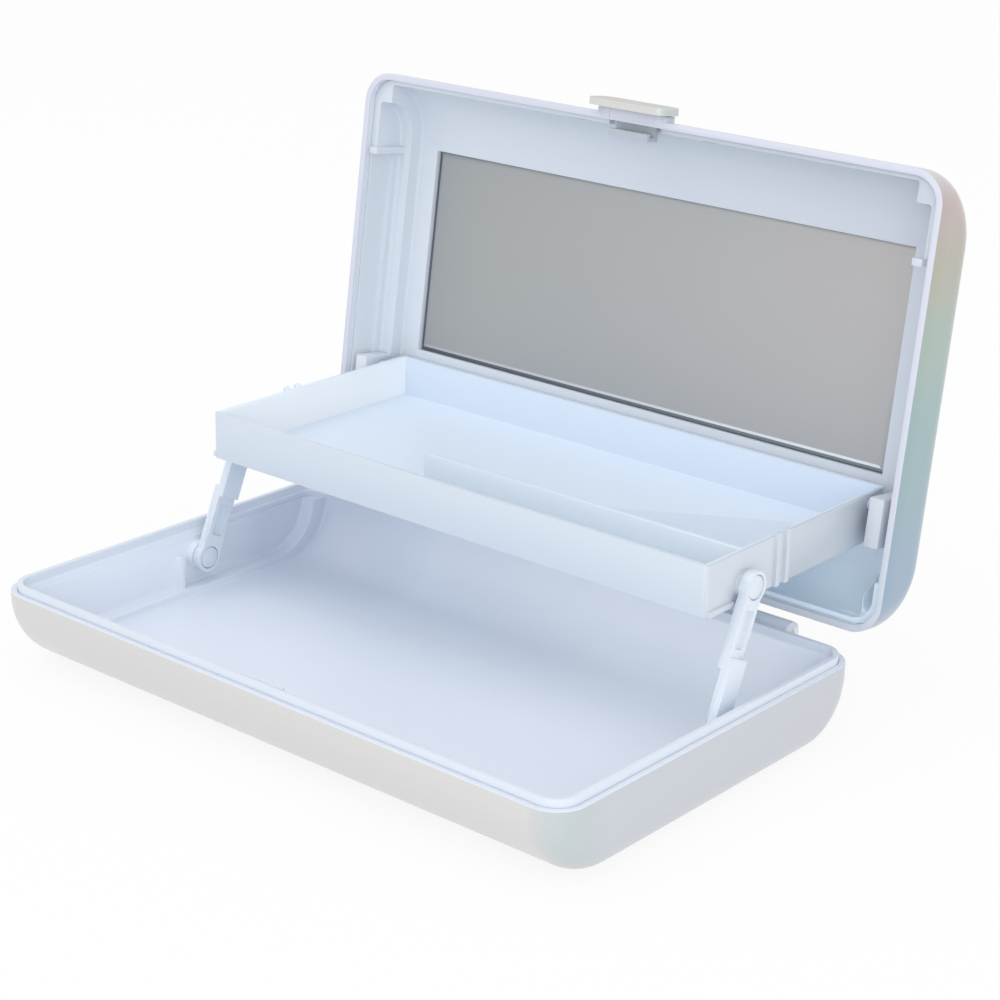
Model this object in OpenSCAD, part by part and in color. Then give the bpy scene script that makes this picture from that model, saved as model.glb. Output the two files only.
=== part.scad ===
// False eyelash case: a two-shell travel case with a hinged lid, a mirror in the lid
// and a tray that two levers lift up and back as the lid opens.
// Millimetres, +Z up, +X along the case, +Y from the front rim to the hinge.
// Origin: centre of the base's flat underside. Drawn with the lid open.

/* [Case] */
// Width of the case from end to end
case_w = 165; // [130:1:200]
// Depth of the case from front rim to back rim
case_d = 102; // [88:1:125]
// Height of the base half, underside to parting line
base_h = 18.3; // [16:0.1:24]
// Height of the lid half, parting line to top
lid_h = 18.3; // [16:0.1:24]
// Radius of the long front edge of both halves
front_r = 17; // [8:0.5:18]
// Radius of the long back edge of both halves
back_r = 15; // [8:0.5:18]
// Radius of the rounding round each end face
end_r = 7.4; // [5:0.1:9]
// Wall thickness of the pearl outer shells
shell_wall = 1.5; // [1.2:0.1:2]
// Angle the lid opens to
open_deg = 97.4; // [85:0.2:105]

/* [Liners] */
// Wall thickness of the white inner liners
liner_wall = 1.1; // [0.9:0.1:1.6]
// Gap between a shell and its liner
nest_gap = 0.1; // [0.05:0.01:0.2]
// Height of the base liner's tongue above the parting line
tongue_h = 1.5; // [1:0.1:2.2]
// Thickness of that tongue
tongue_t = 1.2; // [1:0.1:1.6]
// Distance from a case end to the recessed liner end wall
end_wall_x = 3.5; // [3.3:0.1:4]
// Distance from a case end to the edge of the ledge
ledge_x = 7.2; // [6.5:0.1:8]
// Distance of the ledge inside the deep middle, front and back
ledge_in = 4.6; // [3:0.1:6]
// Height of the base liner's ledges above its floor
base_step = 1.7; // [1:0.1:3]
// Thickness of the lid liner's floor round the mirror
lid_floor_t = 2.1; // [1.5:0.1:3]
// Height of the lid liner's ledges above that floor
lid_step = 3.9; // [3:0.1:5]

/* [Hinge] */
// Distance of the hinge axis behind the back rim
hinge_out = 4.2; // [3.8:0.1:5]
// Distance of the hinge axis below the parting line
hinge_drop = 1.9; // [1.5:0.1:2.5]
// Outside radius of the hinge knuckles
knuckle_r = 3; // [2.6:0.1:3.2]
// Distance from a case end to the row of knuckles
hinge_in = 20; // [12:1:35]
// Radius of the steel hinge pin
hinge_pin_r = 1.25; // [1:0.05:1.5]
// Radial running clearance of the moving pins
run_gap = 0.05; // [0.02:0.01:0.09]

/* [Mirror] */
// Distance from a case end to the mirror's side edge
mirror_side = 13; // [10:0.5:25]
// Distance of the mirror's front edge from the front rim
mirror_front = 18.6; // [17:0.2:24]
// Distance of the mirror's rear edge from the back rim
mirror_back = 32.6; // [26:0.2:36]
// Thickness of the mirror
mirror_t = 1; // [0.8:0.1:1.2]
// Thickness of the tape behind the mirror
tape_t = 0.2; // [0.1:0.05:0.3]

/* [Tray] */
// Distance from a case end to the tray's end wall
tray_end = 10.35; // [10.1:0.05:11]
// Distance of the closed tray behind the front rim
tray_front = 13.1; // [9:0.1:20]
// Height of the tray
tray_h = 11.2; // [10:0.1:12]
// Wall and floor thickness of the tray
tray_wall = 1.3; // [1:0.1:1.6]
// Height of the tray's underside above the parting line, lid open
tray_z = 19.6; // [18:0.1:21]
// Distance of the divider behind the tray's front
divider_y = 12.7; // [10:0.1:16]
// Length of the divider from the right end wall
divider_len = 87; // [60:0.5:120]

/* [Linkage] */
// Distance of the base pivots in front of the hinge axis
pivot_ahead = 48.2; // [44:0.2:52]
// Depth of the base pivot below the parting line
pivot_z = 6.9; // [6:0.1:8]
// Length of a lever between its pivots
lever_len = 33; // [30:0.2:34]
// Lean of the levers past upright, lid open
lever_lean = 23.2; // [18:0.2:26]
// Thickness of a lever
lever_t = 3; // [2.4:0.1:3.2]
// Width of a lever's bar
lever_w = 5.6; // [4.8:0.1:6]
// Radius of a lever's round ends
lever_hub_r = 3.5; // [3:0.1:3.6]
// Radius of the six small pivot pins
pivot_pin_r = 1.5; // [1.2:0.1:1.6]

/* [Latch] */
// Width of the push button
button_w = 21.4; // [16:0.2:28]
// How far the button reaches above the parting line, lid closed
button_rise = 4.7; // [4.2:0.1:7]
// How far the button hangs below the parting line, lid closed
button_drop = 3.8; // [2:0.1:5]
// How far the button stands out from the rim
button_out = 3.8; // [3.6:0.1:5]
// Travel of the button when pressed
button_travel = 1.4; // [1:0.1:1.5]
// Width of the hook and of the catch it holds
hook_w = 12; // [9:0.5:14]
// How far the hook and the catch overlap
hook_grip = 0.65; // [0.4:0.05:0.8]

/* [Hidden] */
$fn = 48;
arc_fn = 72;
pz = base_h;
front_y = -case_d / 2;
end_x = -case_w / 2;
hinge_y = case_d / 2 + hinge_out;
hinge_z = pz - hinge_drop;
nest = shell_wall + nest_gap;
cavity_in = nest + liner_wall;
tongue_in = nest + tongue_t;
rim_gap = 0.15;
base_floor_z = base_h - cavity_in;
base_ledge_z = base_floor_z - base_step;
lid_floor_z = lid_h - nest - lid_floor_t;
lid_ledge_z = lid_floor_z - lid_step;
hinge_len = case_w - 2 * hinge_in;
lever_x = 5.9;
pivot_y = hinge_y - pivot_ahead;
lever_y = lever_len * sin(lever_lean);
lever_z = lever_len * cos(lever_lean);
fold_y = lever_y * cos(open_deg) - lever_z * sin(open_deg);
fold_z = lever_y * sin(open_deg) + lever_z * cos(open_deg);
lug_y = hinge_y + fold_y;
lug_z = hinge_z + fold_z;
tray_back = 5.8;
tray_w = case_w - 2 * tray_end;
tray_y1 = hinge_y + lever_y + tray_back;
tray_y0 = tray_y1 - (lug_y + tray_back - front_y - tray_front);
mirror_w = case_w - 2 * mirror_side;
mirror_d = case_d - mirror_front - mirror_back;
bar_y = pivot_y + fold_y - 7.6;
bar_t = 1.6;
rib_y = 7.2;
rib_t = 1.5;
head_t = 1;
pin_hold = 0.8;
head_r = 2.6;
boss_r = 3.6;
lug_half = 4.6;
room_r = 0.8;
catch_out = 1;
catch_t = 0.7;
hook_y = front_y + tongue_in + catch_out - hook_grip;
hook_t = 1;
pad_out = 1.4;
pad_w = hook_w + 4.4;
skin = 0.9;
stem_z = 2.2;
stem_t = 1.2;

// Rectangle with rounded corners, centred in x, from y0 to y1
module plan(w, y0, y1, r) {
  translate([-w / 2 + r, y0]) square([w - 2 * r, y1 - y0]);
  translate([-w / 2, y0 + r]) square([w, y1 - y0 - 2 * r]);
  for (x = [-w / 2 + r, w / 2 - r]) {
    for (y = [y0 + r, y1 - r]) {
      translate([x, y]) circle(r = r);
    }
  }
}

// Section along the width with rounded lower corners
module end_profile(w, h, r, top) {
  translate([-w / 2 + r, -h]) square([w - 2 * r, top + h]);
  translate([-w / 2, r - h]) square([w, top + h - r]);
  for (x = [-w / 2 + r, w / 2 - r]) {
    translate([x, r - h]) circle(r = r);
  }
}

// Bar along x with rounded rims, which forms a long lower edge and its two corners
module edge_bar(w, bar_r, r) {
  rotate([0, 90, 0]) rotate_extrude($fn = arc_fn) {
    translate([0, -w / 2]) square([bar_r - r, w]);
    translate([0, -w / 2 + r]) square([bar_r, w - 2 * r]);
    for (x = [-w / 2 + r, w / 2 - r]) {
      translate([bar_r - r, x]) circle(r = r);
    }
  }
}

// One half as a solid, its lower side down and its parting line at height 0
module half_solid(w, y0, y1, h, rf, rb, round_r, top) {
  rise = max(rf, rb) - h;
  r = min(round_r, min(rf, rb) / 2 - 0.05);
  intersection() {
    translate([-w, y0 - 1, -h - 1]) cube([2 * w, y1 - y0 + 2, h + 1 + top]);
    union() {
      translate([0, y0 + rf, rf - h]) edge_bar(w, rf, r);
      translate([0, y1 - rb, rb - h]) edge_bar(w, rb, r);
      translate([0, y1 - rb, 0]) {
        rotate([90, 0, 0]) linear_extrude(y1 - y0 - rf - rb) end_profile(w, h, r, 4);
      }
      translate([0, 0, rise]) linear_extrude(4 - rise) plan(w, y0, y1, r);
      translate([0, 0, min(rf, rb) - h]) linear_extrude(4 + h - min(rf, rb)) {
        plan(w, rf < rb ? y0 : y0 + rf, rf < rb ? y1 - rb : y1, r);
      }
    }
  }
}

// The outside of a half, moved in by a distance
module outer_form(h, inset, top) {
  half_solid(case_w - 2 * inset, front_y + inset, -front_y - inset, h - inset,
    min(front_r, h - 0.6) - inset, min(back_r, h - 0.6) - inset, end_r - inset, top);
}

// The room inside a liner: a deep middle and a shallower ledge at each end
module liner_room(floor_z, ledge_z, top) {
  half_solid(case_w - 2 * ledge_x, front_y + cavity_in, -front_y - cavity_in, floor_z,
    min(front_r, floor_z - 0.5) - 1.6, min(back_r, floor_z - 0.5) - 1.6, room_r, top);
  half_solid(case_w - 2 * end_wall_x, front_y + cavity_in + ledge_in, -front_y - cavity_in - ledge_in,
    ledge_z, min(front_r, ledge_z) - 2, min(back_r, ledge_z) - 1.4, room_r, top);
}

// Turns a lid drawn closed to where it stands open
module opened() {
  translate([0, hinge_y, hinge_z]) {
    rotate([-open_deg, 0, 0]) translate([0, -hinge_y, -hinge_z]) children();
  }
}

// Puts a half drawn lower side down onto the base as a closed lid
module as_lid() {
  translate([0, 0, pz]) mirror([0, 0, 1]) children();
}

// Draws a piece at the left end and again, mirrored, at the right end
module both_ends() {
  children();
  mirror([1, 0, 0]) children();
}

// Round bar along x, from x0 to x1 measured from the left end
module end_bar(x0, x1, y, z, r) {
  translate([end_x + x0, y, z]) rotate([0, 90, 0]) cylinder(r = r, h = x1 - x0);
}

// The row of knuckles; part 0 is the base's three, part 1 the lid's two
module knuckles(part) {
  unit = hinge_len / 5;
  for (i = [0 : 4]) {
    if (i % 2 == part) {
      translate([-hinge_len / 2 + i * unit + 0.2, hinge_y, hinge_z]) {
        rotate([0, 90, 0]) cylinder(r = knuckle_r, h = unit - 0.4);
      }
    }
  }
}

// Arms that join the knuckles to the back wall of a shell
module knuckle_arms(part) {
  unit = hinge_len / 5;
  low = part == 0 ? hinge_z - knuckle_r : pz + 0.35;
  high = part == 0 ? pz - 0.35 : pz + 4.2;
  near = part == 0 ? hinge_out : hinge_out + knuckle_r;
  for (i = [0 : 4]) {
    if (i % 2 == part) {
      translate([-hinge_len / 2 + i * unit + 0.2, -front_y - 0.6, low]) {
        cube([unit - 0.4, near + 0.6, high - low]);
      }
    }
  }
}

// Bore for the hinge pin
module hinge_bore() {
  translate([-hinge_len / 2 - 1, hinge_y, hinge_z]) {
    rotate([0, 90, 0]) cylinder(r = hinge_pin_r + run_gap, h = hinge_len + 2);
  }
}

module base_shell() {
  color([0.87, 0.87, 0.86]) difference() {
    union() {
      translate([0, 0, pz]) outer_form(base_h, 0, -rim_gap);
      knuckles(0);
      knuckle_arms(0);
    }
    translate([0, 0, pz]) outer_form(base_h, shell_wall, 1);
    hinge_bore();
  }
}

module base_liner() {
  color([0.86, 0.89, 0.93]) difference() {
    union() {
      translate([0, 0, pz]) difference() {
        outer_form(base_h, nest, tongue_h);
        liner_room(base_floor_z, base_ledge_z, tongue_h + 1);
        translate([0, 0, -2]) linear_extrude(tongue_h + 3) {
          plan(case_w - 2 * tongue_in, front_y + tongue_in, -front_y - tongue_in, end_r - tongue_in);
        }
      }
      both_ends() {
        end_bar(end_wall_x - 0.5, lever_x - 0.35, pivot_y, pz - pivot_z, boss_r);
        translate([end_x + end_wall_x - 0.5, pivot_y - rib_y, pz - base_ledge_z - 0.5]) {
          cube([2.4, rib_t, base_ledge_z - 5.5]);
        }
      }
    }
    both_ends() {
      end_bar(2.6, lever_x, pivot_y, pz - pivot_z, pivot_pin_r + 0.02);
    }
  }
}

// Lip on the inside of the tongue, which the button's hook holds
module base_catch() {
  color([0.86, 0.89, 0.93]) {
    translate([-hook_w / 2, front_y + tongue_in, pz + tongue_h - catch_t]) {
      cube([hook_w, catch_out, catch_t]);
    }
  }
}

module hinge_pin() {
  color([0.75, 0.76, 0.78]) {
    translate([-hinge_len / 2 + 0.4, hinge_y, hinge_z]) {
      rotate([0, 90, 0]) cylinder(r = hinge_pin_r, h = hinge_len - 0.8);
    }
  }
}

module base_pivot_pins() {
  color([0.84, 0.87, 0.9]) both_ends() {
    end_bar(2.7, lever_x + lever_t + 0.4, pivot_y, pz - pivot_z, pivot_pin_r);
    end_bar(lever_x + lever_t + 0.3, lever_x + lever_t + 0.3 + head_t, pivot_y, pz - pivot_z, head_r);
  }
}

module lid_shell() {
  color([0.87, 0.87, 0.86]) opened() difference() {
    union() {
      as_lid() outer_form(lid_h, 0, -rim_gap);
      knuckles(1);
      knuckle_arms(1);
      translate([-pad_w / 2, front_y - pad_out, pz]) cube([pad_w, pad_out + 1, button_rise - skin - 0.4]);
    }
    as_lid() outer_form(lid_h, shell_wall, 1);
    hinge_bore();
    button_slot(0.35, front_y - pad_out - 1);
  }
}

// Opening for the button's stem and hook in the front of the lid
module button_slot(gap, y0) {
  translate([-hook_w / 2 - gap, y0, pz - 1]) {
    cube([hook_w + 2 * gap, front_y + 7 - y0, 1 + button_rise - 0.9]);
  }
}

module lid_liner() {
  color([0.86, 0.89, 0.93]) opened() difference() {
    union() {
      as_lid() difference() {
        outer_form(lid_h, nest, -2);
        liner_room(lid_floor_z, lid_ledge_z, 1);
      }
      both_ends() {
        translate([end_x + end_wall_x - 0.6, bar_y, pz + 0.3]) cube([2.4, bar_t, lid_ledge_z + 1.5]);
      }
    }
    both_ends() {
      translate([end_x + 2.1, bar_y + bar_t, pz - 1]) {
        cube([2, -front_y - 11.8 - bar_y - bar_t, lid_ledge_z - 1.2]);
      }
    }
    translate([-mirror_w / 2 - 0.2, front_y + mirror_front - 0.2, pz + 8]) {
      cube([mirror_w + 0.4, mirror_d + 0.4, lid_h]);
    }
    button_slot(1.5, front_y);
    for (x = [-18.6, 18.6]) {
      translate([x - 1.8, front_y + nest - 0.5, pz + 3.5]) cube([3.6, liner_wall + 1, 2.5]);
    }
  }
}

// Round bar at the lid pivot, lid closed
module lug_bar(x0, x1, r) {
  end_bar(x0, x1, lug_y, lug_z, r);
}

// Blocks on the lid's ledge that carry the tray's rear pivots
module lid_lugs() {
  z = lug_z - boss_r;
  color([0.86, 0.89, 0.93]) opened() both_ends() difference() {
    translate([end_x + end_wall_x + 0.25, lug_y - lug_half, z]) {
      cube([tray_end - 0.65 - end_wall_x, 2 * lug_half, pz + lid_ledge_z - 0.25 - z]);
    }
    lug_bar(end_wall_x - 1, tray_end, pivot_pin_r + 0.02);
  }
}

module lid_pivot_pins() {
  color([0.84, 0.87, 0.9]) opened() both_ends() {
    lug_bar(end_wall_x + 0.3, tray_end + pin_hold, pivot_pin_r);
  }
}

module mirror_glass() {
  color([0.66, 0.67, 0.68]) opened() {
    translate([-mirror_w / 2, front_y + mirror_front, pz + lid_h - shell_wall - tape_t - mirror_t - 0.02]) {
      cube([mirror_w, mirror_d, mirror_t]);
    }
  }
}

module mirror_tape() {
  color([0.9, 0.9, 0.9]) opened() {
    translate([-mirror_w / 2 + 4, front_y + mirror_front + 4, pz + lid_h - shell_wall - tape_t - 0.01]) {
      cube([mirror_w - 8, mirror_d - 8, tape_t]);
    }
  }
}

// Hollow push button; its stem passes through the lid's front to an inner hook
module latch_button() {
  inner = hook_y + hook_grip + 0.4;
  color([0.87, 0.87, 0.86]) opened() {
    difference() {
      translate([0, 0, pz - button_drop]) linear_extrude(button_drop + button_rise) {
        button_outline(0);
      }
      translate([0, 0, pz - button_drop - 1]) linear_extrude(button_drop + button_rise) {
        button_outline(skin);
      }
      translate([-button_w, front_y - button_travel - 0.3, pz - button_drop - 1]) {
        cube([2 * button_w, 12, button_drop + button_rise + 2]);
      }
    }
    translate([-hook_w / 2, front_y - button_out + skin / 2, pz + stem_z]) {
      cube([hook_w, inner + hook_t - front_y + button_out - skin / 2, stem_t]);
    }
    translate([-hook_w / 2, inner, pz - 0.6]) cube([hook_w, hook_t, stem_z + stem_t + 0.6]);
    translate([-hook_w / 2, hook_y, pz - 0.6]) cube([hook_w, inner - hook_y + hook_t / 2, 1.1]);
  }
}

// Outline of the button from above, moved in by a distance
module button_outline(inset) {
  plan(button_w - 2 * inset, front_y - button_out + inset, front_y + 4, 2.4 - inset);
}

module tray() {
  z0 = pz + tray_z;
  color([0.86, 0.92, 0.97]) difference() {
    union() {
      translate([0, 0, z0]) linear_extrude(tray_h) plan(tray_w, tray_y0, tray_y1, 1.2);
      both_ends() {
        end_bar(tray_end - 1.1, tray_end + 0.2, pivot_y + lever_y, pz - pivot_z + lever_z, 3);
        for (y = [0, 3.5]) {
          translate([end_x + tray_end - 0.8, tray_y0 + 24.1 + y, z0]) cube([1, 1.5, tray_h + 0.7]);
        }
        translate([end_x + tray_end - 0.8, tray_y0 + 0.6, z0]) cube([1, 8.5, 1.2]);
      }
    }
    difference() {
      translate([0, 0, z0 + tray_wall]) linear_extrude(tray_h) {
        plan(tray_w - 2 * tray_wall, tray_y0 + tray_wall, tray_y1 - tray_wall, 0.6);
      }
      translate([tray_w / 2 - tray_wall - divider_len, tray_y0 + divider_y, z0]) {
        cube([divider_len + 1, 1.3, tray_h]);
      }
    }
    both_ends() {
      end_bar(tray_end - 2, tray_end + pin_hold + 0.05, pivot_y + lever_y,
        pz - pivot_z + lever_z, pivot_pin_r + 0.02);
      end_bar(tray_end - 2, tray_end + pin_hold + 0.1, hinge_y + lever_y,
        hinge_z + lever_z, pivot_pin_r + 0.1);
    }
  }
}

module tray_pivot_pins() {
  color([0.84, 0.87, 0.9]) both_ends() {
    end_bar(lever_x - 0.4, tray_end + pin_hold, pivot_y + lever_y,
      pz - pivot_z + lever_z, pivot_pin_r);
    end_bar(lever_x - 0.3 - head_t, lever_x - 0.3, pivot_y + lever_y,
      pz - pivot_z + lever_z, head_r);
  }
}

// Flat outline of a lever from its base pivot at the origin along +x
module lever_outline() {
  circle(r = lever_hub_r);
  translate([lever_len, 0]) circle(r = lever_hub_r);
  translate([0, -lever_w / 2]) square([lever_len, lever_w]);
}

// Long pocket between two points along a lever
module lever_pocket(u0, u1) {
  w = lever_w - 2.4;
  translate([u0, -w / 2]) square([u1 - u0, w]);
  translate([u0, 0]) circle(r = w / 2, $fn = 24);
}

module lever() {
  translate([end_x + lever_x, pivot_y, pz - pivot_z]) {
    rotate([90, 0, 90]) rotate([0, 0, 90 - lever_lean]) difference() {
      linear_extrude(lever_t) lever_outline();
      translate([0, 0, -1]) linear_extrude(lever_t + 2) {
        circle(r = pivot_pin_r + run_gap);
        translate([lever_len, 0]) circle(r = pivot_pin_r + run_gap);
      }
      translate([0, 0, lever_t - 1.2]) linear_extrude(2) lever_pocket(6.5, lever_len / 2 - 1);
      translate([0, 0, -1]) linear_extrude(2.2) lever_pocket(lever_len / 2 + 2.5, lever_len - 5);
    }
  }
}

module left_lever() {
  color([0.84, 0.88, 0.93]) lever();
}

module right_lever() {
  color([0.84, 0.88, 0.93]) mirror([1, 0, 0]) lever();
}

base_shell();
base_liner();
base_catch();
hinge_pin();
base_pivot_pins();
lid_shell();
lid_liner();
lid_lugs();
lid_pivot_pins();
mirror_glass();
mirror_tape();
latch_button();
tray();
tray_pivot_pins();
left_lever();
right_lever();
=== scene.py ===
import math

import bpy
from mathutils import Matrix, Vector


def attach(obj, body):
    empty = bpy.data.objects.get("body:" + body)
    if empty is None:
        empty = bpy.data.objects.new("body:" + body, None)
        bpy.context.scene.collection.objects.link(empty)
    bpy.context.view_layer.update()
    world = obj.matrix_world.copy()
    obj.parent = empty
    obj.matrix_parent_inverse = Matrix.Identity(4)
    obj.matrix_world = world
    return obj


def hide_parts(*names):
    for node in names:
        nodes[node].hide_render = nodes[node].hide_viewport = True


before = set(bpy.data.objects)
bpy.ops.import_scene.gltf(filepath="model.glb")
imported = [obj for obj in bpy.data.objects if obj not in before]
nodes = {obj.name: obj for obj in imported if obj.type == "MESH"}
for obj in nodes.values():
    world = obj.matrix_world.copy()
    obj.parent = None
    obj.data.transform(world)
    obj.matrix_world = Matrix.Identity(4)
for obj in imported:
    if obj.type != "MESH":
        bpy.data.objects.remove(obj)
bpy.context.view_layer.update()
mm = 0.001
print("frame loaded:", len(nodes), "nodes")


# How far the lid stands open, and a point on the hinge's axis
turn = math.radians(97.4)
hinge = Vector((0.0, 0.0552, 0.0164))


# A socket that can be used in sums
class Signal:
    def __init__(self, finish, socket):
        self.finish = finish
        self.socket = socket

    def join(self, operation, first, second):
        return self.finish.node("ShaderNodeMath", {"operation": operation}, {0: first, 1: second})

    def __add__(self, other): return self.join("ADD", self, other)
    def __radd__(self, other): return self.join("ADD", other, self)
    def __sub__(self, other): return self.join("SUBTRACT", self, other)
    def __rsub__(self, other): return self.join("SUBTRACT", other, self)
    def __mul__(self, other): return self.join("MULTIPLY", self, other)
    def larger(self, other): return self.join("MAXIMUM", self, other)
    def clipped(self): return self.join("MINIMUM", self.join("MAXIMUM", self, 0.0), 1.0)

    # Grow from 0 to 1 beyond a place, or short of it; sharpness is per metre
    def past(self, place, sharpness): return ((self - place) * sharpness).clipped()
    def before(self, place, sharpness): return ((place - self) * sharpness).clipped()


class Finish:
    def __init__(self, name):
        self.material = bpy.data.materials.new(name)
        self.material.use_nodes = True
        self.tree = self.material.node_tree
        self.tree.nodes.clear()
        self.output = self.tree.nodes.new("ShaderNodeOutputMaterial")

    def node(self, kind, settings=None, inputs=None, out=0):
        made = self.tree.nodes.new(kind)
        for key, value in (settings or {}).items():
            if key == "stops":
                self.setStops(made.color_ramp, value)
            else:
                setattr(made, key, value)
        for key, value in (inputs or {}).items():
            self.feed(made.inputs[key], value)
        return Signal(self, made.outputs[out])

    def feed(self, socket, value):
        if isinstance(value, Signal):
            self.tree.links.new(value.socket, socket)
        elif isinstance(value, (tuple, list)) and len(value) == 3 and socket.type == "RGBA":
            socket.default_value = (*value, 1.0)
        else:
            socket.default_value = value

    def setStops(self, ramp, stops):
        while len(ramp.elements) > 1:
            ramp.elements.remove(ramp.elements[-1])
        ramp.elements[0].position = stops[0][0]
        ramp.elements[0].color = (*stops[0][1], 1.0)
        for place, colour in stops[1:]:
            ramp.elements.new(place).color = (*colour, 1.0)

    def place(self):
        return self.node("ShaderNodeTexCoord", out="Object")

    def facing(self):
        return self.axes(self.node("ShaderNodeNewGeometry", out="Normal"))

    def axes(self, vector):
        split = self.node("ShaderNodeSeparateXYZ", None, {0: vector})
        return [Signal(self, out) for out in split.socket.node.outputs]

    def noise(self, vector, scale, detail=2.0):
        inputs = {"Vector": vector, "Scale": scale, "Detail": detail}
        return self.node("ShaderNodeTexNoise", None, inputs, out="Fac")

    def ramp(self, value, stops):
        made = self.node("ShaderNodeValToRGB", {"stops": stops}, {0: value})
        made.socket.node.color_ramp.interpolation = "EASE"
        return made

    def blend(self, share, first, second):
        made = self.node("ShaderNodeMix", {"data_type": "RGBA"})
        sockets = made.socket.node.inputs
        self.feed(sockets[0], share)
        self.feed(sockets[6], first)
        self.feed(sockets[7], second)
        return Signal(self, made.socket.node.outputs[2])

    def bump(self, height, strength, distance):
        inputs = {"Height": height, "Strength": strength, "Distance": distance}
        return self.node("ShaderNodeBump", None, inputs)

    def surface(self, **inputs):
        spaced = {key.replace("_", " "): value for key, value in inputs.items()}
        shader = self.node("ShaderNodeBsdfPrincipled", None, spaced)
        self.tree.links.new(shader.socket, self.output.inputs["Surface"])
        return self.material


# Pearl skin: a warm white with painted sheen: bands of colour painted up the lid's ends,
# a cooler tone painted on the base's right end, and green painted at the base's near corner.
# The sheen's stops run from the table, 0, to the top of the open lid, 1. Places are (metres, sharpness).
pearl = {
    "front": (0.625, 0.612, 0.600), "end": (0.510, 0.532, 0.572), "mint": (0.420, 0.515, 0.485),
    "sheen": [(0.10, (0.510, 0.532, 0.572)), (0.24, (0.246, 0.350, 0.468)), (0.50, (0.246, 0.380, 0.384)),
              (0.68, (0.304, 0.400, 0.342)), (0.80, (0.372, 0.366, 0.290)), (0.90, (0.432, 0.350, 0.331)),
              (1.0, (0.625, 0.612, 0.600))],
    "perMetre": 8.0, "driftScale": 16.0, "drift": 0.10,
    "endPlace": (0.0735, 130.0), "lidPlace": (0.053, 300.0), "cornerPlace": (-0.036, 90.0), "mintShare": 0.55,
    "flakeTone": (0.86, 0.85, 0.88), "flakeScale": 2600.0, "flakeShare": 0.10,
    "roughness": 0.27, "roughDrift": 0.10, "coat": 0.5, "coatRoughness": 0.12, "ior": 1.48,
    "waveScale": 90.0, "waveStrength": 0.05, "waveDepth": 0.0004,
}


def pearly(f, here, flakes, tone, roughness, coat):
    waves = f.bump(f.noise(here, pearl["waveScale"]), pearl["waveStrength"], pearl["waveDepth"])
    return f.surface(Base_Color=tone, Roughness=roughness + flakes * pearl["roughDrift"], Coat_Weight=coat,
                     Coat_Roughness=pearl["coatRoughness"], IOR=pearl["ior"], Normal=waves)


def makePearl():
    f = Finish("pearlSkin")
    here = f.place()
    x, y, z = f.axes(here)
    drift = (f.noise(here, pearl["driftScale"]) - 0.5) * pearl["drift"]
    # Painted sheen: bands of colour that turn with height up the lid's ends
    sheen = f.ramp((z * pearl["perMetre"] + drift).clipped(), pearl["sheen"])
    rightEnd = x.past(*pearl["endPlace"])
    bothEnds = x.larger(0.0 - x).past(*pearl["endPlace"])
    onLid = y.past(*pearl["lidPlace"])
    # Painted sheen on the base: a cooler tone at its right end and green at its near corner
    corner = rightEnd * y.before(*pearl["cornerPlace"])
    base = f.blend(rightEnd, pearl["front"], pearl["end"])
    base = f.blend(corner * pearl["mintShare"], base, pearl["mint"])
    colour = f.blend(onLid * bothEnds, base, sheen)
    flakes = f.noise(here, pearl["flakeScale"], detail=1.0)
    tone = f.blend(flakes * pearl["flakeShare"], colour, pearl["flakeTone"])
    return pearly(f, here, flakes, tone, pearl["roughness"], pearl["coat"])


# The button's cap: the same pearl, painted dark olive on its upward faces as a painted reflection, and green
# at its end as painted sheen
buttonLook = {
    "top": (0.400, 0.395, 0.350), "edge": (0.620, 0.615, 0.580), "end": (0.500, 0.570, 0.555),
    "endPlace": (0.0098, 1500.0), "facingUp": (0.6, 4.0), "roughness": 0.25, "coat": 0.4,
}


def makeButtonSkin():
    f = Finish("pearlButton")
    here = f.place()
    # Painted sheen: green at the cap's end
    atEnd = f.axes(here)[0].past(*buttonLook["endPlace"])
    # Upward faces painted dark olive: a painted reflection
    onTop = f.facing()[2].past(*buttonLook["facingUp"])
    colour = f.blend(onTop, buttonLook["edge"], buttonLook["top"])
    tone = f.blend(atEnd, colour, buttonLook["end"])
    flakes = f.noise(here, pearl["flakeScale"], detail=1.0)
    return pearly(f, here, flakes, tone, buttonLook["roughness"], buttonLook["coat"])


# Cool white moulded plastics; the hook's darker colour is painted shade, for the shadow under the button's
# cap
plastic = {
    "lever": (0.720, 0.780, 0.855), "hook": (0.460, 0.510, 0.560), "darker": 0.965, "spots": (0.3, 0.7),
    "leverRoughness": 0.27, "hookRoughness": 0.35, "roughDrift": 0.10, "ior": 1.46,
    "grain": 1400.0, "grainStrength": 0.06, "grainDepth": 0.0002, "mottle": 18.0, "mottleShare": 0.05,
}


def mottle(f, here):
    return f.noise(here, plastic["mottle"], detail=3.0)


def moulded(f, here, wide, tone, roughness):
    grain = f.bump(f.noise(here, plastic["grain"]), plastic["grainStrength"], plastic["grainDepth"])
    return f.surface(Base_Color=tone, Roughness=roughness + wide * plastic["roughDrift"], IOR=plastic["ior"],
                     Normal=grain)


def makePlastic(name, colour, roughness):
    f = Finish(name)
    here = f.place()
    wide = mottle(f, here)
    low, high = plastic["spots"]
    spots = f.ramp(wide, [(low, (0, 0, 0)), (high, (1, 1, 1))])
    tone = f.blend(spots, tuple(c * plastic["darker"] for c in colour), colour)
    return moulded(f, here, wide, tone, roughness)


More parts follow.
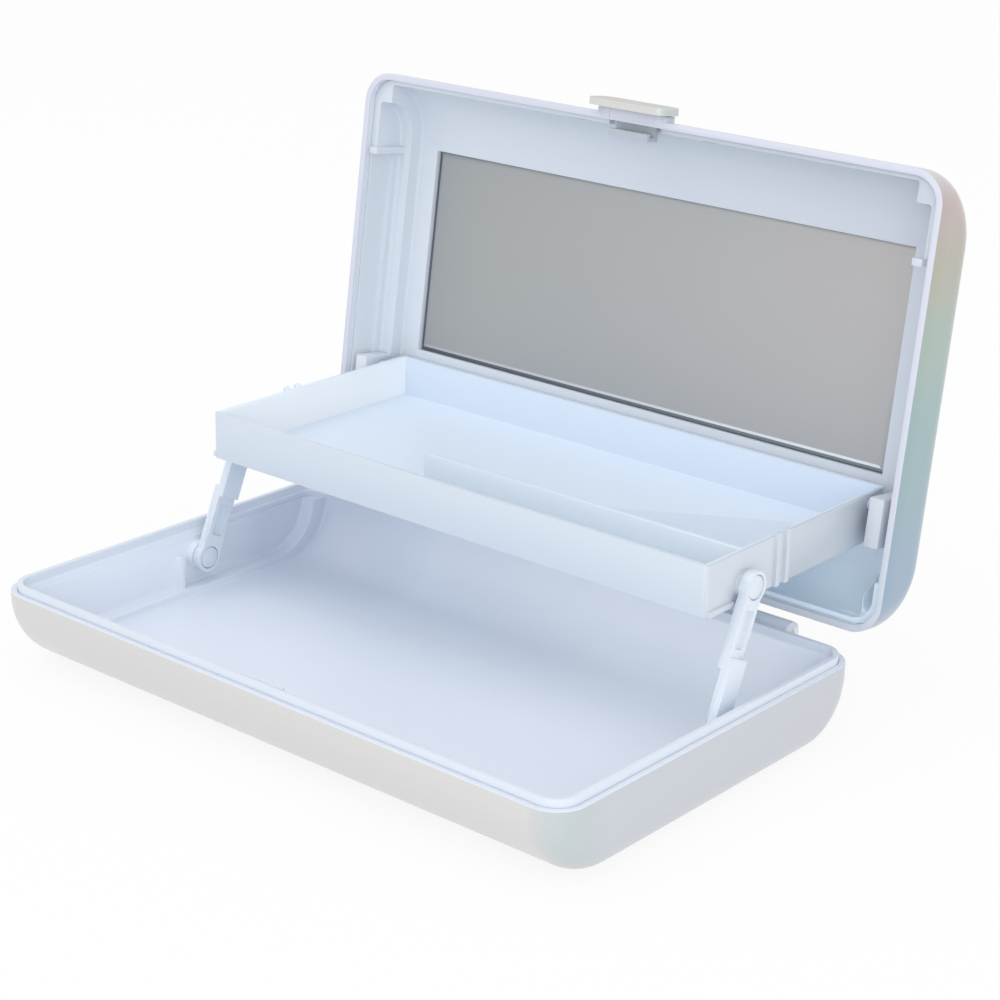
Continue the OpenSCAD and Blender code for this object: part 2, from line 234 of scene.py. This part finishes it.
# The base's liner, with painted light and shade: painted whitest at the back, under the tray, painted greyer
# as shade at the left of its back wall, and its rim painted darker as shade
baseLook = {
    "near": (0.800, 0.850, 0.930), "deep": (0.920, 0.950, 0.990), "backLeft": (0.640, 0.690, 0.790),
    "rim": (0.700, 0.750, 0.825), "mottled": (0.62, 0.66, 0.72), "roughness": 0.33,
    "rimPlace": (0.0176, 2500.0), "deepFrom": (-0.012, 34.0), "deepLeft": (-0.045, 14.0),
    "deepRight": (0.074, 90.0), "shadeRight": (-0.035, 30.0), "shadeFrom": (0.012, 60.0),
}


def makeBasePlastic():
    f = Finish("basePlastic")
    here = f.place()
    x, y, z = f.axes(here)
    look = baseLook
    wide = mottle(f, here)
    within = z.before(*look["rimPlace"])
    # Painted light at the back under the tray, and painted shade at the left of the back wall
    deep = y.past(*look["deepFrom"]) * x.past(*look["deepLeft"]) * x.before(*look["deepRight"]) * within
    shade = x.before(*look["shadeRight"]) * y.past(*look["shadeFrom"]) * within
    body = f.blend(deep, look["near"], look["deep"])
    body = f.blend(shade, body, look["backLeft"])
    # The rim is painted darker: painted shade
    body = f.blend(z.past(*look["rimPlace"]), body, look["rim"])
    tone = f.blend(wide * plastic["mottleShare"], body, look["mottled"])
    return moulded(f, here, wide, tone, look["roughness"])


# The lid's liner is painted greyer as shade, most of all at its right end and along its top, painted lighter
# low inside as light, and its rim painted darker as shade
lidLook = {
    "left": (0.700, 0.750, 0.815), "right": (0.600, 0.645, 0.705), "low": (0.800, 0.900, 0.985),
    "rim": (0.650, 0.665, 0.760), "mottled": (0.50, 0.54, 0.60), "roughness": 0.33,
    "across": 5.0, "up": 6.0, "middle": 0.06, "start": 0.4, "shutOffset": 0.03623, "lowTop": (0.040, 300.0),
    "lowDepth": (0.0193, 1500.0), "rimDepth": (0.0189, 2500.0), "rimFrom": (0.040, 200.0),
}


def makeLidPlastic():
    f = Finish("lidPlastic")
    here = f.place()
    x, y, z = f.axes(here)
    look = lidLook
    wide = mottle(f, here)
    # Painted shade, growing to the right and upwards
    along = (x * look["across"] + (z - look["middle"]) * look["up"] + look["start"]).clipped()
    # Height above the table with the lid shut
    depth = y * math.sin(turn) + z * math.cos(turn) - look["shutOffset"]
    # Painted light low inside the open lid, and painted shade on its rim
    low = z.before(*look["lowTop"]) * depth.past(*look["lowDepth"])
    rim = depth.before(*look["rimDepth"]) * z.past(*look["rimFrom"])
    body = f.blend(low, f.blend(along, look["left"], look["right"]), look["low"])
    body = f.blend(rim, body, look["rim"])
    tone = f.blend(wide * plastic["mottleShare"], body, look["mottled"])
    return moulded(f, here, wide, tone, look["roughness"])


# The tray's light and shade are painted: its outer faces painted greyer as shade, its left wall, facing
# right, painted lighter as light, and its back wall and divider, facing the front, painted darker as shade
trayLook = {
    "inside": (0.770, 0.865, 0.975), "left": (0.930, 0.965, 0.990), "back": (0.690, 0.780, 0.905),
    "divider": (0.753, 0.820, 0.863), "front": (0.640, 0.705, 0.780), "end": (0.595, 0.648, 0.710),
    "mottled": (0.60, 0.64, 0.70), "roughness": 0.27, "endPlace": (0.0714, 4000.0),
    "frontPlace": (0.0082, 4000.0), "dividerPlace": (0.03, 1000.0), "turned": 0.3, "turnedShare": 1.4,
}


def makeTrayPlastic():
    f = Finish("trayPlastic")
    here = f.place()
    x, y, z = f.axes(here)
    look = trayLook
    wide = mottle(f, here)
    atEnd = x.past(*look["endPlace"])
    inFront = y.before(*look["frontPlace"])
    # Outer faces painted greyer: painted shade
    outside = f.blend(atEnd, look["front"], look["end"])
    # Faces pointing right get painted light, faces pointing to the front get painted shade
    facing = f.facing()
    toRight = (facing[0] - look["turned"]).clipped() * look["turnedShare"]
    toFront = (-look["turned"] - facing[1]).clipped() * look["turnedShare"]
    upright = f.blend(y.before(*look["dividerPlace"]), look["back"], look["divider"])
    inside = f.blend(toRight, look["inside"], look["left"])
    inside = f.blend(toFront, inside, upright)
    colour = f.blend(atEnd.larger(inFront), inside, outside)
    tone = f.blend(wide * plastic["mottleShare"], colour, look["mottled"])
    return moulded(f, here, wide, tone, look["roughness"])


# Silvered glass, dull under its protective film; its tone is painted lighter to the right, a painted
# reflection
mirrorLook = {
    "left": (0.385, 0.400, 0.402), "right": (0.480, 0.485, 0.490), "across": 7.2,
    "cast": [(0.35, (0.440, 0.490, 0.480)), (0.65, (0.510, 0.470, 0.455))], "castScale": 14.0,
    "castShare": 0.5, "film": 0.34, "hazeScale": 9.0, "haze": 0.12, "metallic": 0.5, "ior": 1.5,
}


def makeMirror():
    f = Finish("filmedMirror")
    here = f.place()
    look = mirrorLook
    haze = f.noise(here, look["hazeScale"])
    # Painted reflection: lighter towards the right
    along = (f.axes(here)[0] * look["across"] + 0.5).clipped()
    tone = f.blend(along, look["left"], look["right"])
    cast = f.ramp(f.noise(here, look["castScale"], detail=1.0), look["cast"])
    tone = f.blend(along * along * look["castShare"], tone, cast)
    return f.surface(Base_Color=tone, Roughness=look["film"] + haze * look["haze"], Metallic=look["metallic"],
                     IOR=look["ior"])


# The mirror's edges: a light band below, a painted highlight that brightens to the right, and dark bands,
# painted shadow in the gap at the glass's edge
edgeLook = {
    "left": (0.44, 0.46, 0.47), "right": (0.84, 0.87, 0.89), "shadowLeft": (0.10, 0.10, 0.13),
    "shadowRight": (0.22, 0.26, 0.28), "across": 7.0, "grit": 2500.0, "roughness": 0.40, "roughDrift": 0.15,
    "ior": 1.5,
}


def makeEdge(name, left, right):
    f = Finish(name)
    here = f.place()
    grit = f.noise(here, edgeLook["grit"])
    along = (f.axes(here)[0] * edgeLook["across"] + 0.5).clipped()
    return f.surface(Base_Color=f.blend(along, left, right), IOR=edgeLook["ior"],
                     Roughness=edgeLook["roughness"] + grit * edgeLook["roughDrift"])


steelLook = {
    "dark": (0.50, 0.51, 0.53), "light": (0.66, 0.67, 0.68), "streaks": (60.0, 4000.0, 4000.0),
    "roughness": 0.22, "roughDrift": 0.18,
}


def makeSteel():
    f = Finish("drawnSteel")
    stretched = f.node("ShaderNodeMapping", None, {"Vector": f.place(), "Scale": steelLook["streaks"]})
    streak = f.noise(stretched, scale=1.0, detail=3.0)
    return f.surface(Base_Color=f.blend(streak, steelLook["dark"], steelLook["light"]), Metallic=1.0,
                     Roughness=steelLook["roughness"] + streak * steelLook["roughDrift"])


foamLook = {
    "low": (0.74, 0.74, 0.72), "high": (0.86, 0.86, 0.84), "cells": 3500.0, "roughness": 0.85,
    "cellStrength": 0.3, "cellDepth": 0.0002,
}


def makeFoam():
    f = Finish("foamTape")
    cells = f.noise(f.place(), foamLook["cells"], detail=3.0)
    tone = f.blend(cells, foamLook["low"], foamLook["high"])
    return f.surface(Base_Color=tone, Roughness=foamLook["roughness"],
                     Normal=f.bump(cells, foamLook["cellStrength"], foamLook["cellDepth"]))


pearlSkin = makePearl()
pearlButton = makeButtonSkin()
linerPlastic = makeBasePlastic()
lidPlastic = makeLidPlastic()
hookPlastic = makePlastic("hookPlastic", plastic["hook"], plastic["hookRoughness"])
trayPlastic = makeTrayPlastic()
leverPlastic = makePlastic("leverPlastic", plastic["lever"], plastic["leverRoughness"])
mirrorFace = makeMirror()
groundGlass = makeEdge("groundGlass", edgeLook["left"], edgeLook["right"])
edgePaint = makeEdge("edgePaint", edgeLook["shadowLeft"], edgeLook["shadowRight"])
drawnSteel = makeSteel()
foamTape = makeFoam()

finishes = {
    "base_shell": pearlSkin, "lid_shell": pearlSkin, "latch_button": pearlSkin,
    "base_liner": linerPlastic, "lid_liner": lidPlastic, "base_catch": linerPlastic, "lid_lugs": lidPlastic,
    "tray": trayPlastic, "left_lever": leverPlastic, "right_lever": leverPlastic,
    "base_pivot_pins": leverPlastic, "lid_pivot_pins": leverPlastic, "tray_pivot_pins": leverPlastic,
    "hinge_pin": drawnSteel, "mirror_glass": mirrorFace, "mirror_tape": foamTape,
}
for name, material in finishes.items():
    mesh = nodes[name].data
    mesh.materials.clear()
    mesh.materials.append(material)
print("finishes on", len(finishes), "nodes")


# Modelling helpers; sizes are millimetres with the lid shut, as in the CAD.
# parting is the height where the halves meet, and cutPast is how far a cutting tool stands out of its cut.
parting = 18.3
cutPast = 1.0
rodSides = 48
edgeRounding = {
    "segments": 2, "cornerSegments": 8, "from": 38.0, "smoothTo": 34.0, "weld": 0.004, "flat": 0.6,
}


def only(piece):
    bpy.ops.object.select_all(action="DESELECT")
    piece.select_set(True)
    bpy.context.view_layer.objects.active = piece


# Where a point of the open lid lies when the lid is shut
def lidClosed(point):
    d = point - hinge
    return Vector((point.x, hinge.y + d.y * math.cos(turn) - d.z * math.sin(turn),
                   hinge.z + d.y * math.sin(turn) + d.z * math.cos(turn)))


def block(x0, x1, y0, y1, z0, z1, corner=0.0):
    bpy.ops.object.select_all(action="DESELECT")
    bpy.ops.mesh.primitive_cube_add(size=1.0)
    made = bpy.context.object
    bpy.ops.object.mode_set(mode="EDIT")
    bpy.ops.mesh.select_all(action="SELECT")
    size = ((x1 - x0) * mm, (y1 - y0) * mm, (z1 - z0) * mm)
    middle = ((x0 + x1) / 2 * mm, (y0 + y1) / 2 * mm, (z0 + z1) / 2 * mm)
    bpy.ops.transform.resize(value=size, center_override=(0, 0, 0))
    bpy.ops.transform.translate(value=middle)
    if corner > 0:
        selectUprights(made)
        bpy.ops.mesh.bevel(offset=corner * mm, segments=edgeRounding["cornerSegments"], affect="EDGES")
    bpy.ops.object.mode_set(mode="OBJECT")
    return made


# Selects the edges that run up and down, whose ends lie above each other
def selectUprights(piece):
    bpy.ops.mesh.select_mode(type="EDGE")
    bpy.ops.mesh.select_all(action="DESELECT")
    bpy.ops.object.mode_set(mode="OBJECT")
    points = piece.data.vertices
    for edge in piece.data.edges:
        a, b = (points[i].co for i in edge.vertices)
        edge.select = (a.xy - b.xy).length < 1e-7
    bpy.ops.object.mode_set(mode="EDIT")


# A rod along X, from x0 to x1
def rod(x0, x1, y, z, radius):
    bpy.ops.object.select_all(action="DESELECT")
    bpy.ops.mesh.primitive_cylinder_add(vertices=rodSides, radius=radius * mm, depth=abs(x1 - x0) * mm)
    made = bpy.context.object
    bpy.ops.object.mode_set(mode="EDIT")
    bpy.ops.mesh.select_all(action="SELECT")
    bpy.ops.transform.rotate(value=math.pi / 2, orient_axis="Y", center_override=(0, 0, 0))
    bpy.ops.transform.translate(value=((x0 + x1) / 2 * mm, y * mm, z * mm))
    bpy.ops.object.mode_set(mode="OBJECT")
    return made


def combine(piece, tools, operation):
    for tool in tools:
        only(piece)
        step = piece.modifiers.new("combine", "BOOLEAN")
        step.operation = operation
        step.solver = "EXACT"
        step.object = tool
        bpy.ops.object.modifier_apply(modifier="combine")
        bpy.data.objects.remove(tool)


# Turns a piece's mesh about an axis along X
def swing(piece, angle, y, z):
    middle = Matrix.Translation((0, y * mm, z * mm))
    piece.data.transform(middle @ Matrix.Rotation(angle, 4, "X") @ middle.inverted())
    return piece


def openLid(piece):
    return swing(piece, -turn, hinge.y / mm, hinge.z / mm)


def otherEnd(piece):
    twin = bpy.data.objects.new(piece.name + "Twin", piece.data.copy())
    bpy.context.scene.collection.objects.link(twin)
    twin.data.transform(Matrix.Scale(-1, 4, (1, 0, 0)))
    only(twin)
    bpy.ops.object.mode_set(mode="EDIT")
    bpy.ops.mesh.select_all(action="SELECT")
    bpy.ops.mesh.flip_normals()
    bpy.ops.object.mode_set(mode="OBJECT")
    return twin


def joinTo(first, second):
    only(first)
    second.select_set(True)
    bpy.ops.object.join()


def roundEdges(piece, radius, miter="MITER_SHARP"):
    bevel = piece.modifiers.new("softEdges", "BEVEL")
    bevel.width = radius * mm
    bevel.segments = edgeRounding["segments"]
    bevel.limit_method = "ANGLE"
    bevel.angle_limit = math.radians(edgeRounding["from"])
    bevel.miter_outer = miter
    bevel.use_clamp_overlap = True
    bpy.ops.object.modifier_apply(modifier="softEdges")
    bpy.ops.object.shade_smooth_by_angle(angle=math.radians(edgeRounding["smoothTo"]))


def finishPiece(piece, name, material, radius, body, replaced):
    only(piece)
    piece.name = name
    roundEdges(piece, radius)
    piece.data.materials.clear()
    piece.data.materials.append(material)
    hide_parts(replaced)
    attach(piece, body)
    print(name, len(piece.data.polygons), "faces")
    return piece


# Cranked levers, drawn upright at the left end: the upper half lies further in than the lower half.
# foot and head give the two faces of each half, measured from the case's end. pocketEnds are how far
# the pockets keep from the lower pivot, from the lever's middle and from the upper pivot.
caseEnd = -82.5
lever = {
    "length": 33.0, "lean": 23.2, "width": 5.6, "footRadius": 3.6, "headRadius": 3.5,
    "foot": (5.9, 8.1), "head": (6.95, 9.1), "overlap": 1.3, "bore": 1.52, "pivotY": 7.0, "pivotZ": 11.4,
    "pinRadius": 1.5, "pinHead": 2.6, "headDepth": 0.9, "headGap": 0.2, "headRoom": 0.15,
    "pocket": 3.1, "pocketEnds": (5.6, 3.2, 5.0), "footPocket": 1.0, "headPocket": 0.9, "rounding": 0.35,
}


def makeLever(name, body, replaced, mirrored):
    w = lever
    half = w["length"] / 2
    f0, f1 = (caseEnd + v for v in w["foot"])
    h0, h1 = (caseEnd + v for v in w["head"])
    y, z, wide, slim = w["pivotY"], w["pivotZ"], w["width"] / 2, w["pocket"] / 2
    top = z + w["length"]
    footEnd, middle, headEnd = w["pocketEnds"]
    seat, room = w["pinHead"] + w["headGap"], w["headDepth"] + w["headRoom"]
    piece = block(f0, f1, y - wide, y + wide, z, z + half + w["overlap"])
    combine(piece, [rod(f0, f1, y, z, w["footRadius"])], "UNION")
    upper = block(h0, h1, y - wide, y + wide, z + half - w["overlap"], top)
    combine(upper, [rod(h0, h1, y, top, w["headRadius"])], "UNION")
    combine(piece, [upper], "UNION")
    combine(piece, [
        rod(f0 - cutPast, f1 + cutPast, y, z, w["bore"]),
        rod(h0 - cutPast, h1 + cutPast, y, top, w["bore"]),
        rod(f1 - room, f1 + cutPast, y, z, seat),
        rod(h0 - cutPast, h0 + room, y, top, seat),
        block(f1 - w["footPocket"], f1 + cutPast, y - slim, y + slim, z + footEnd, z + half - middle),
        block(h0 - cutPast, h0 + w["headPocket"], y - slim, y + slim, z + half + middle, top - headEnd),
    ], "DIFFERENCE")
    swing(piece, -math.radians(w["lean"]), y, z)
    if mirrored:
        twin = otherEnd(piece)
        bpy.data.objects.remove(piece)
        piece = twin
    finishPiece(piece, name, leverPlastic, w["rounding"], body, replaced)


makeLever("leftArm", "left_lever", "left_lever", False)
makeLever("rightArm", "right_lever", "right_lever", True)

# Headed pins at the two ends of both levers, set flush in the levers; spans are from the case's end
pins = {
    "baseRod": (2.7, 7.6), "baseHead": (7.25, 8.0), "trayRod": (7.5, 11.15), "trayHead": (7.1, 7.85),
    "rounding": 0.25,
}


def makePins(name, pivot, rodSpan, headSpan, body, replaced):
    pin = rod(*(caseEnd + v for v in rodSpan), *pivot, lever["pinRadius"])
    combine(pin, [rod(*(caseEnd + v for v in headSpan), *pivot, lever["pinHead"])], "UNION")
    joinTo(pin, otherEnd(pin))
    finishPiece(pin, name, leverPlastic, pins["rounding"], body, replaced)


lean = math.radians(lever["lean"])
basePivot = (lever["pivotY"], lever["pivotZ"])
trayPivot = (basePivot[0] + lever["length"] * math.sin(lean), basePivot[1] + lever["length"] * math.cos(lean))
makePins("basePins", basePivot, pins["baseRod"], pins["baseHead"], "base", "base_pivot_pins")
makePins("trayPins", trayPivot, pins["trayRod"], pins["trayHead"], "tray", "tray_pivot_pins")

# Blocks on the lid's end walls that hold the tray's rear pivots, drawn with the lid shut
lug = {
    "x": (3.75, 7.5), "y": (20.55, 31.75), "z": (19.5, 28.75), "pivot": (23.45, 25.385), "bore": 1.53,
    "boreSpan": (2.0, 10.0), "rounding": 0.4,
}


def makeLugs():
    piece = block(*(caseEnd + v for v in lug["x"]), *lug["y"], *lug["z"])
    combine(piece, [rod(*(caseEnd + v for v in lug["boreSpan"]), *lug["pivot"], lug["bore"])], "DIFFERENCE")
    joinTo(piece, otherEnd(piece))
    openLid(piece)
    finishPiece(piece, "lidLugBlocks", lidPlastic, lug["rounding"], "lid", "lid_lugs")


makeLugs()

# Mirror: a plate whose face has a light band along the bottom, a painted highlight, and dark bands below it
# and at the left, painted shadow of the gap at its edge
glass = {
    "x": 69.5, "y": (-32.4, 18.4), "z": (33.88, 34.88), "shadowBand": 0.85, "ground": 0.65, "drop": 0.3,
    "reach": 0.8, "rounding": 0.05, "nearby": 0.01,
}


def makeMirrorPlate():
    g = glass
    plate = block(-g["x"], g["x"], *g["y"], *g["z"])
    bpy.ops.object.mode_set(mode="EDIT")
    bpy.ops.mesh.select_all(action="DESELECT")
    bpy.ops.object.mode_set(mode="OBJECT")
    # The plate's face looks down while the lid is shut
    for face in plate.data.polygons:
        face.select = face.normal.z < -0.9
    bpy.ops.object.mode_set(mode="EDIT")
    bpy.ops.mesh.select_mode(type="FACE")
    bpy.ops.mesh.inset(thickness=g["shadowBand"] * mm, depth=0.0)
    bpy.ops.mesh.inset(thickness=g["ground"] * mm, depth=0.0)
    bpy.ops.object.mode_set(mode="OBJECT")
    lowerRim(plate)
    openLid(plate)
    piece = finishPiece(plate, "mirrorPlate", mirrorFace, g["rounding"], "lid",
                        "mirror_glass")
    piece.data.materials.append(groundGlass)
    piece.data.materials.append(edgePaint)
    bottom, shadowBand = g["y"][1], g["shadowBand"] * g["reach"]
    # Painted shadow on the outer band at the bottom and left, painted highlight on the band inside it at the
    # bottom
    for face in piece.data.polygons:
        middle = lidClosed(Vector(face.center)) / mm
        if middle.y > bottom - shadowBand or middle.x < -g["x"] + shadowBand:
            face.material_index = 2
        elif middle.y > bottom - g["shadowBand"] - g["ground"] * g["reach"]:
            face.material_index = 1


# Moves the outline of the plate's face back into the glass
def lowerRim(plate):
    near = glass["nearby"]
    front, rear = glass["y"]
    points = plate.data.vertices
    for point in points:
        x, y, z = point.co / mm
        onRim = abs(x) > glass["x"] - near or y < front + near or y > rear - near
        point.select = onRim and z < glass["z"][0] + near
    for line in plate.data.edges:
        line.select = all(points[i].select for i in line.vertices)
    for face in plate.data.polygons:
        face.select = False
    bpy.ops.object.mode_set(mode="EDIT")
    bpy.ops.mesh.select_mode(type="VERT")
    bpy.ops.transform.translate(value=(0, 0, glass["drop"] * mm))
    bpy.ops.object.mode_set(mode="OBJECT")


makeMirrorPlate()

# Push button: a rounded cap, solid at its free end, on a stem that carries the hook
button = {
    "half": 11.1, "top": -54.3, "under": -52.65, "low": 14.5, "high": 23.0, "round": 3.0, "wall": 0.9,
    "skin": 0.45, "hollowFrom": -0.4, "hookHalf": 5.6, "stem": (20.5, 21.7), "plate": (-46.9, -46.0),
    "lip": (-47.75, -46.5), "hookLow": 17.8, "lipHeight": 1.0, "rounding": 0.45, "plainFrom": 0.3,
}
zToFront = Matrix(((1, 0, 0, 0), (0, 0, -1, 0), (0, 1, 0, 0), (0, 0, 0, 1)))


def makeButton():
    b = button
    cap = block(-b["half"], b["half"], b["low"], b["high"], -b["under"], -b["top"], b["round"])
    cap.data.transform(zToFront)
    hollow = block(-b["half"] + b["wall"], b["half"] - b["wall"], b["top"] + b["skin"], b["under"] + cutPast,
                   parting + b["hollowFrom"], b["high"] - b["wall"])
    combine(cap, [hollow], "DIFFERENCE")
    wide = b["hookHalf"]
    stem = block(-wide, wide, b["top"] + b["skin"] / 2, b["plate"][1], *b["stem"])
    plate = block(-wide, wide, *b["plate"], b["hookLow"], b["stem"][1])
    lip = block(-wide, wide, *b["lip"], b["hookLow"], b["hookLow"] + b["lipHeight"])
    combine(cap, [stem, plate, lip], "UNION")
    openLid(cap)
    piece = finishPiece(cap, "pushButton", pearlButton, b["rounding"], "latch", "latch_button")
    # The stem and hook take the darker colour: painted shade under the cap
    piece.data.materials.append(hookPlastic)
    for face in piece.data.polygons:
        if lidClosed(Vector(face.center)).y > (b["under"] + b["plainFrom"]) * mm:
            face.material_index = 1


makeButton()

# Copies of moulded nodes, with their sharp edges softened as a mould leaves them
softening = {
    "base_shell": ("baseShellSkin", "base", "pearl_shell", 0.22),
    "lid_shell": ("lidShellSkin", "lid", "pearl_shell", 0.22),
    "base_liner": ("baseTub", "base", "white_liner", 0.22),
    "lid_liner": ("lidTub", "lid", "white_liner", 0.22),
    "tray": ("liftingTray", "tray", "white_tray", 0.28),
}

# Cuts that give the lid's liner larger roundings in its two corners next to the hinge, at its mouth and
# above its step. x is from the middle, z from the parting line, and round is the corner's radius.
linerCorner = [
    {"x": (66.0, 79.0), "y": (35.0, 48.2), "z": (-2, 4.4), "round": 4.6},
    {"x": (75.4, 79.0), "y": (35.0, 46.8), "z": (4, 9.6), "round": 1.7},
]


def reshapeLidLiner(piece):
    cuts = []
    for side in (-1, 1):
        for c in linerCorner:
            x0, x1 = sorted(side * v for v in c["x"])
            cuts.append(openLid(block(x0, x1, *c["y"], *(parting + v for v in c["z"]), c["round"])))
    combine(piece, cuts, "DIFFERENCE")


# The lid's shell closes up to the button's slot: a fill, and a seat with two ears under the cap
latchSeat = {
    "fillHalf": 6.9, "fillY": (-50.98, -49.52), "fillZ": (0.16, 1.95),
    "seatHalf": 9.8, "seatY": (-52.3, -50.9), "seatTop": 20.3, "earFrom": 6.4, "earZ": (20.2, 21.6),
}


def reshapeLidShell(piece):
    s = latchSeat
    low, high = (parting + v for v in s["fillZ"])
    fill = block(-s["fillHalf"], s["fillHalf"], *s["fillY"], low, high)
    seat = block(-s["seatHalf"], s["seatHalf"], *s["seatY"], low, s["seatTop"])
    ears = []
    for side in (-1, 1):
        x0, x1 = sorted((side * s["earFrom"], side * s["seatHalf"]))
        ears.append(block(x0, x1, *s["seatY"], *s["earZ"]))
    combine(piece, [openLid(part) for part in (fill, seat, *ears)], "UNION")


reshaping = {"lid_liner": reshapeLidLiner, "lid_shell": reshapeLidShell}


def soften(nodeName):
    name, body, slot, radius = softening[nodeName]
    piece = bpy.data.objects.new(name, nodes[nodeName].data.copy())
    bpy.context.scene.collection.objects.link(piece)
    only(piece)
    bpy.ops.mesh.customdata_custom_splitnormals_clear()
    bpy.ops.object.mode_set(mode="EDIT")
    bpy.ops.mesh.select_all(action="SELECT")
    bpy.ops.mesh.remove_doubles(threshold=edgeRounding["weld"] * mm)
    bpy.ops.mesh.dissolve_limited(angle_limit=math.radians(edgeRounding["flat"]))
    bpy.ops.object.mode_set(mode="OBJECT")
    if nodeName in reshaping:
        reshaping[nodeName](piece)
    roundEdges(piece, radius, "MITER_ARC")
    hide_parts(nodeName)
    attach(piece, body)
    return piece


softPieces = {}
for nodeName in softening:
    softPieces[nodeName] = soften(nodeName)
    print("softened", nodeName, len(softPieces[nodeName].data.polygons), "faces")


# The shells are pearl outside, and plain plastic on their rims, inner faces, base knuckles and latch seat.
# An inner face looks towards a flat box in the middle of the case; core is half that box's length and depth.
shellInside = {"core": (62.0, 30.0), "rim": 0.4, "knuckleFrom": 51.2, "seatBefore": -51.15}


def whiteInside(piece, isLid):
    mesh = piece.data
    mesh.materials.append(lidPlastic if isLid else linerPlastic)
    coreX, coreY = shellInside["core"]
    for face in mesh.polygons:
        spot = Vector(face.center)
        normal = Vector(face.normal)
        if isLid:
            spot, normal = lidClosed(spot), lidClosed(spot + normal * mm) - lidClosed(spot)
        x, y, z = spot / mm
        core = Vector((max(-coreX, min(coreX, x)), max(-coreY, min(coreY, y)), parting))
        outward = (spot / mm - core).dot(normal)
        rim = abs(z - parting) < shellInside["rim"]
        knuckle = not isLid and y > shellInside["knuckleFrom"]
        seat = isLid and y < shellInside["seatBefore"]
        if rim or knuckle or seat or outward < 0:
            face.material_index = 1


whiteInside(softPieces["base_shell"], False)
whiteInside(softPieces["lid_shell"], True)
print("shell insides marked")


# Studio: floor, lamps, and white behind everything
studio = {
    "floorSize": 6.0, "floorDrop": 0.0002, "floorTone": 0.90, "shadowShare": 0.12,
    "sky": 0.92, "skyTone": (0.97, 0.98, 1.0), "lampAim": (0, 0.03, 0.04),
}
lamps = {
    "softboxAbove": ((-0.20, -0.30, 0.95), 0.9, 1.5),
    "softboxRight": ((0.95, -0.25, 0.45), 0.9, 1.0),
    "softboxFront": ((0.62, -0.74, 0.20), 0.7, 2.5),
}


# A floor that shows as white apart from a share of its shadows
def makeFloor():
    bpy.ops.mesh.primitive_plane_add(size=studio["floorSize"], location=(0, 0, -studio["floorDrop"]))
    floor = bpy.context.object
    floor.name = "floor"
    f = Finish("paleFloor")
    rays = f.node("ShaderNodeLightPath", out="Is Camera Ray")
    outs = rays.socket.node.outputs
    seen = (rays + Signal(f, outs["Is Glossy Ray"]) + Signal(f, outs["Is Transmission Ray"])).clipped()
    glow = f.node("ShaderNodeEmission", None, {"Color": (1.0, 1.0, 1.0), "Strength": 1.0})
    dull = f.node("ShaderNodeBsdfDiffuse", None, {"Color": (studio["floorTone"],) * 3})
    mixed = f.node("ShaderNodeMixShader", None, {0: seen * (1.0 - studio["shadowShare"]), 1: dull, 2: glow})
    f.tree.links.new(mixed.socket, f.output.inputs["Surface"])
    floor.data.materials.append(f.material)


def makeWorld():
    world = bpy.data.worlds.new("studioSky")
    bpy.context.scene.world = world
    world.use_nodes = True
    tree = world.node_tree
    tree.nodes.clear()
    out = tree.nodes.new("ShaderNodeOutputWorld")
    rays = tree.nodes.new("ShaderNodeLightPath")
    mix = tree.nodes.new("ShaderNodeMixShader")
    tree.links.new(rays.outputs["Is Camera Ray"], mix.inputs[0])
    for place, tone, strength in ((1, studio["skyTone"], studio["sky"]), (2, (1.0, 1.0, 1.0), 1.0)):
        light = tree.nodes.new("ShaderNodeBackground")
        light.inputs["Color"].default_value = (*tone, 1.0)
        light.inputs["Strength"].default_value = strength
        tree.links.new(light.outputs[0], mix.inputs[place])
    tree.links.new(mix.outputs[0], out.inputs["Surface"])


def makeLamp(name, place, size, power):
    lamp = bpy.data.lights.new(name, "AREA")
    lamp.shape = "SQUARE"
    lamp.size = size
    lamp.energy = power
    made = bpy.data.objects.new(name, lamp)
    made.location = place
    made.rotation_mode = "QUATERNION"
    made.rotation_quaternion = (Vector(studio["lampAim"]) - Vector(place)).to_track_quat("-Z", "Y")
    bpy.context.scene.collection.objects.link(made)


makeFloor()
makeWorld()
for name, (place, size, power) in lamps.items():
    makeLamp(name, place, size, power)
print("studio ready")


# Camera, as fitted to the photograph; aim, offset and distance are millimetres
view = {
    "azimuth": 39.97, "elevation": 20.0, "roll": 1.38, "lens": 86.591, "sensor": 36.0, "distance": 518.83,
    "aim": (0.0, -9.0, 40.243), "offset": (-23.63, -8.59), "clip": (0.01, 20.0),
}


def makeCamera():
    a, e, r = (math.radians(view[k]) for k in ("azimuth", "elevation", "roll"))
    back = Vector((math.sin(a) * math.cos(e), -math.cos(a) * math.cos(e), math.sin(e)))
    level = Vector((math.cos(a), math.sin(a), 0.0))
    upright = back.cross(level)
    right = math.cos(r) * level + math.sin(r) * upright
    up = -math.sin(r) * level + math.cos(r) * upright
    spot = Vector(view["aim"]) - view["offset"][0] * right - view["offset"][1] * up + view["distance"] * back
    data = bpy.data.cameras.new("camera")
    data.lens = view["lens"]
    data.sensor_width = view["sensor"]
    data.clip_start, data.clip_end = view["clip"]
    camera = bpy.data.objects.new("camera", data)
    camera.matrix_world = Matrix.Translation(spot * mm) @ Matrix((right, up, back)).transposed().to_4x4()
    bpy.context.scene.collection.objects.link(camera)
    bpy.context.scene.camera = camera


makeCamera()
bpy.context.scene.view_settings.view_transform = "Standard"
print("camera ready")
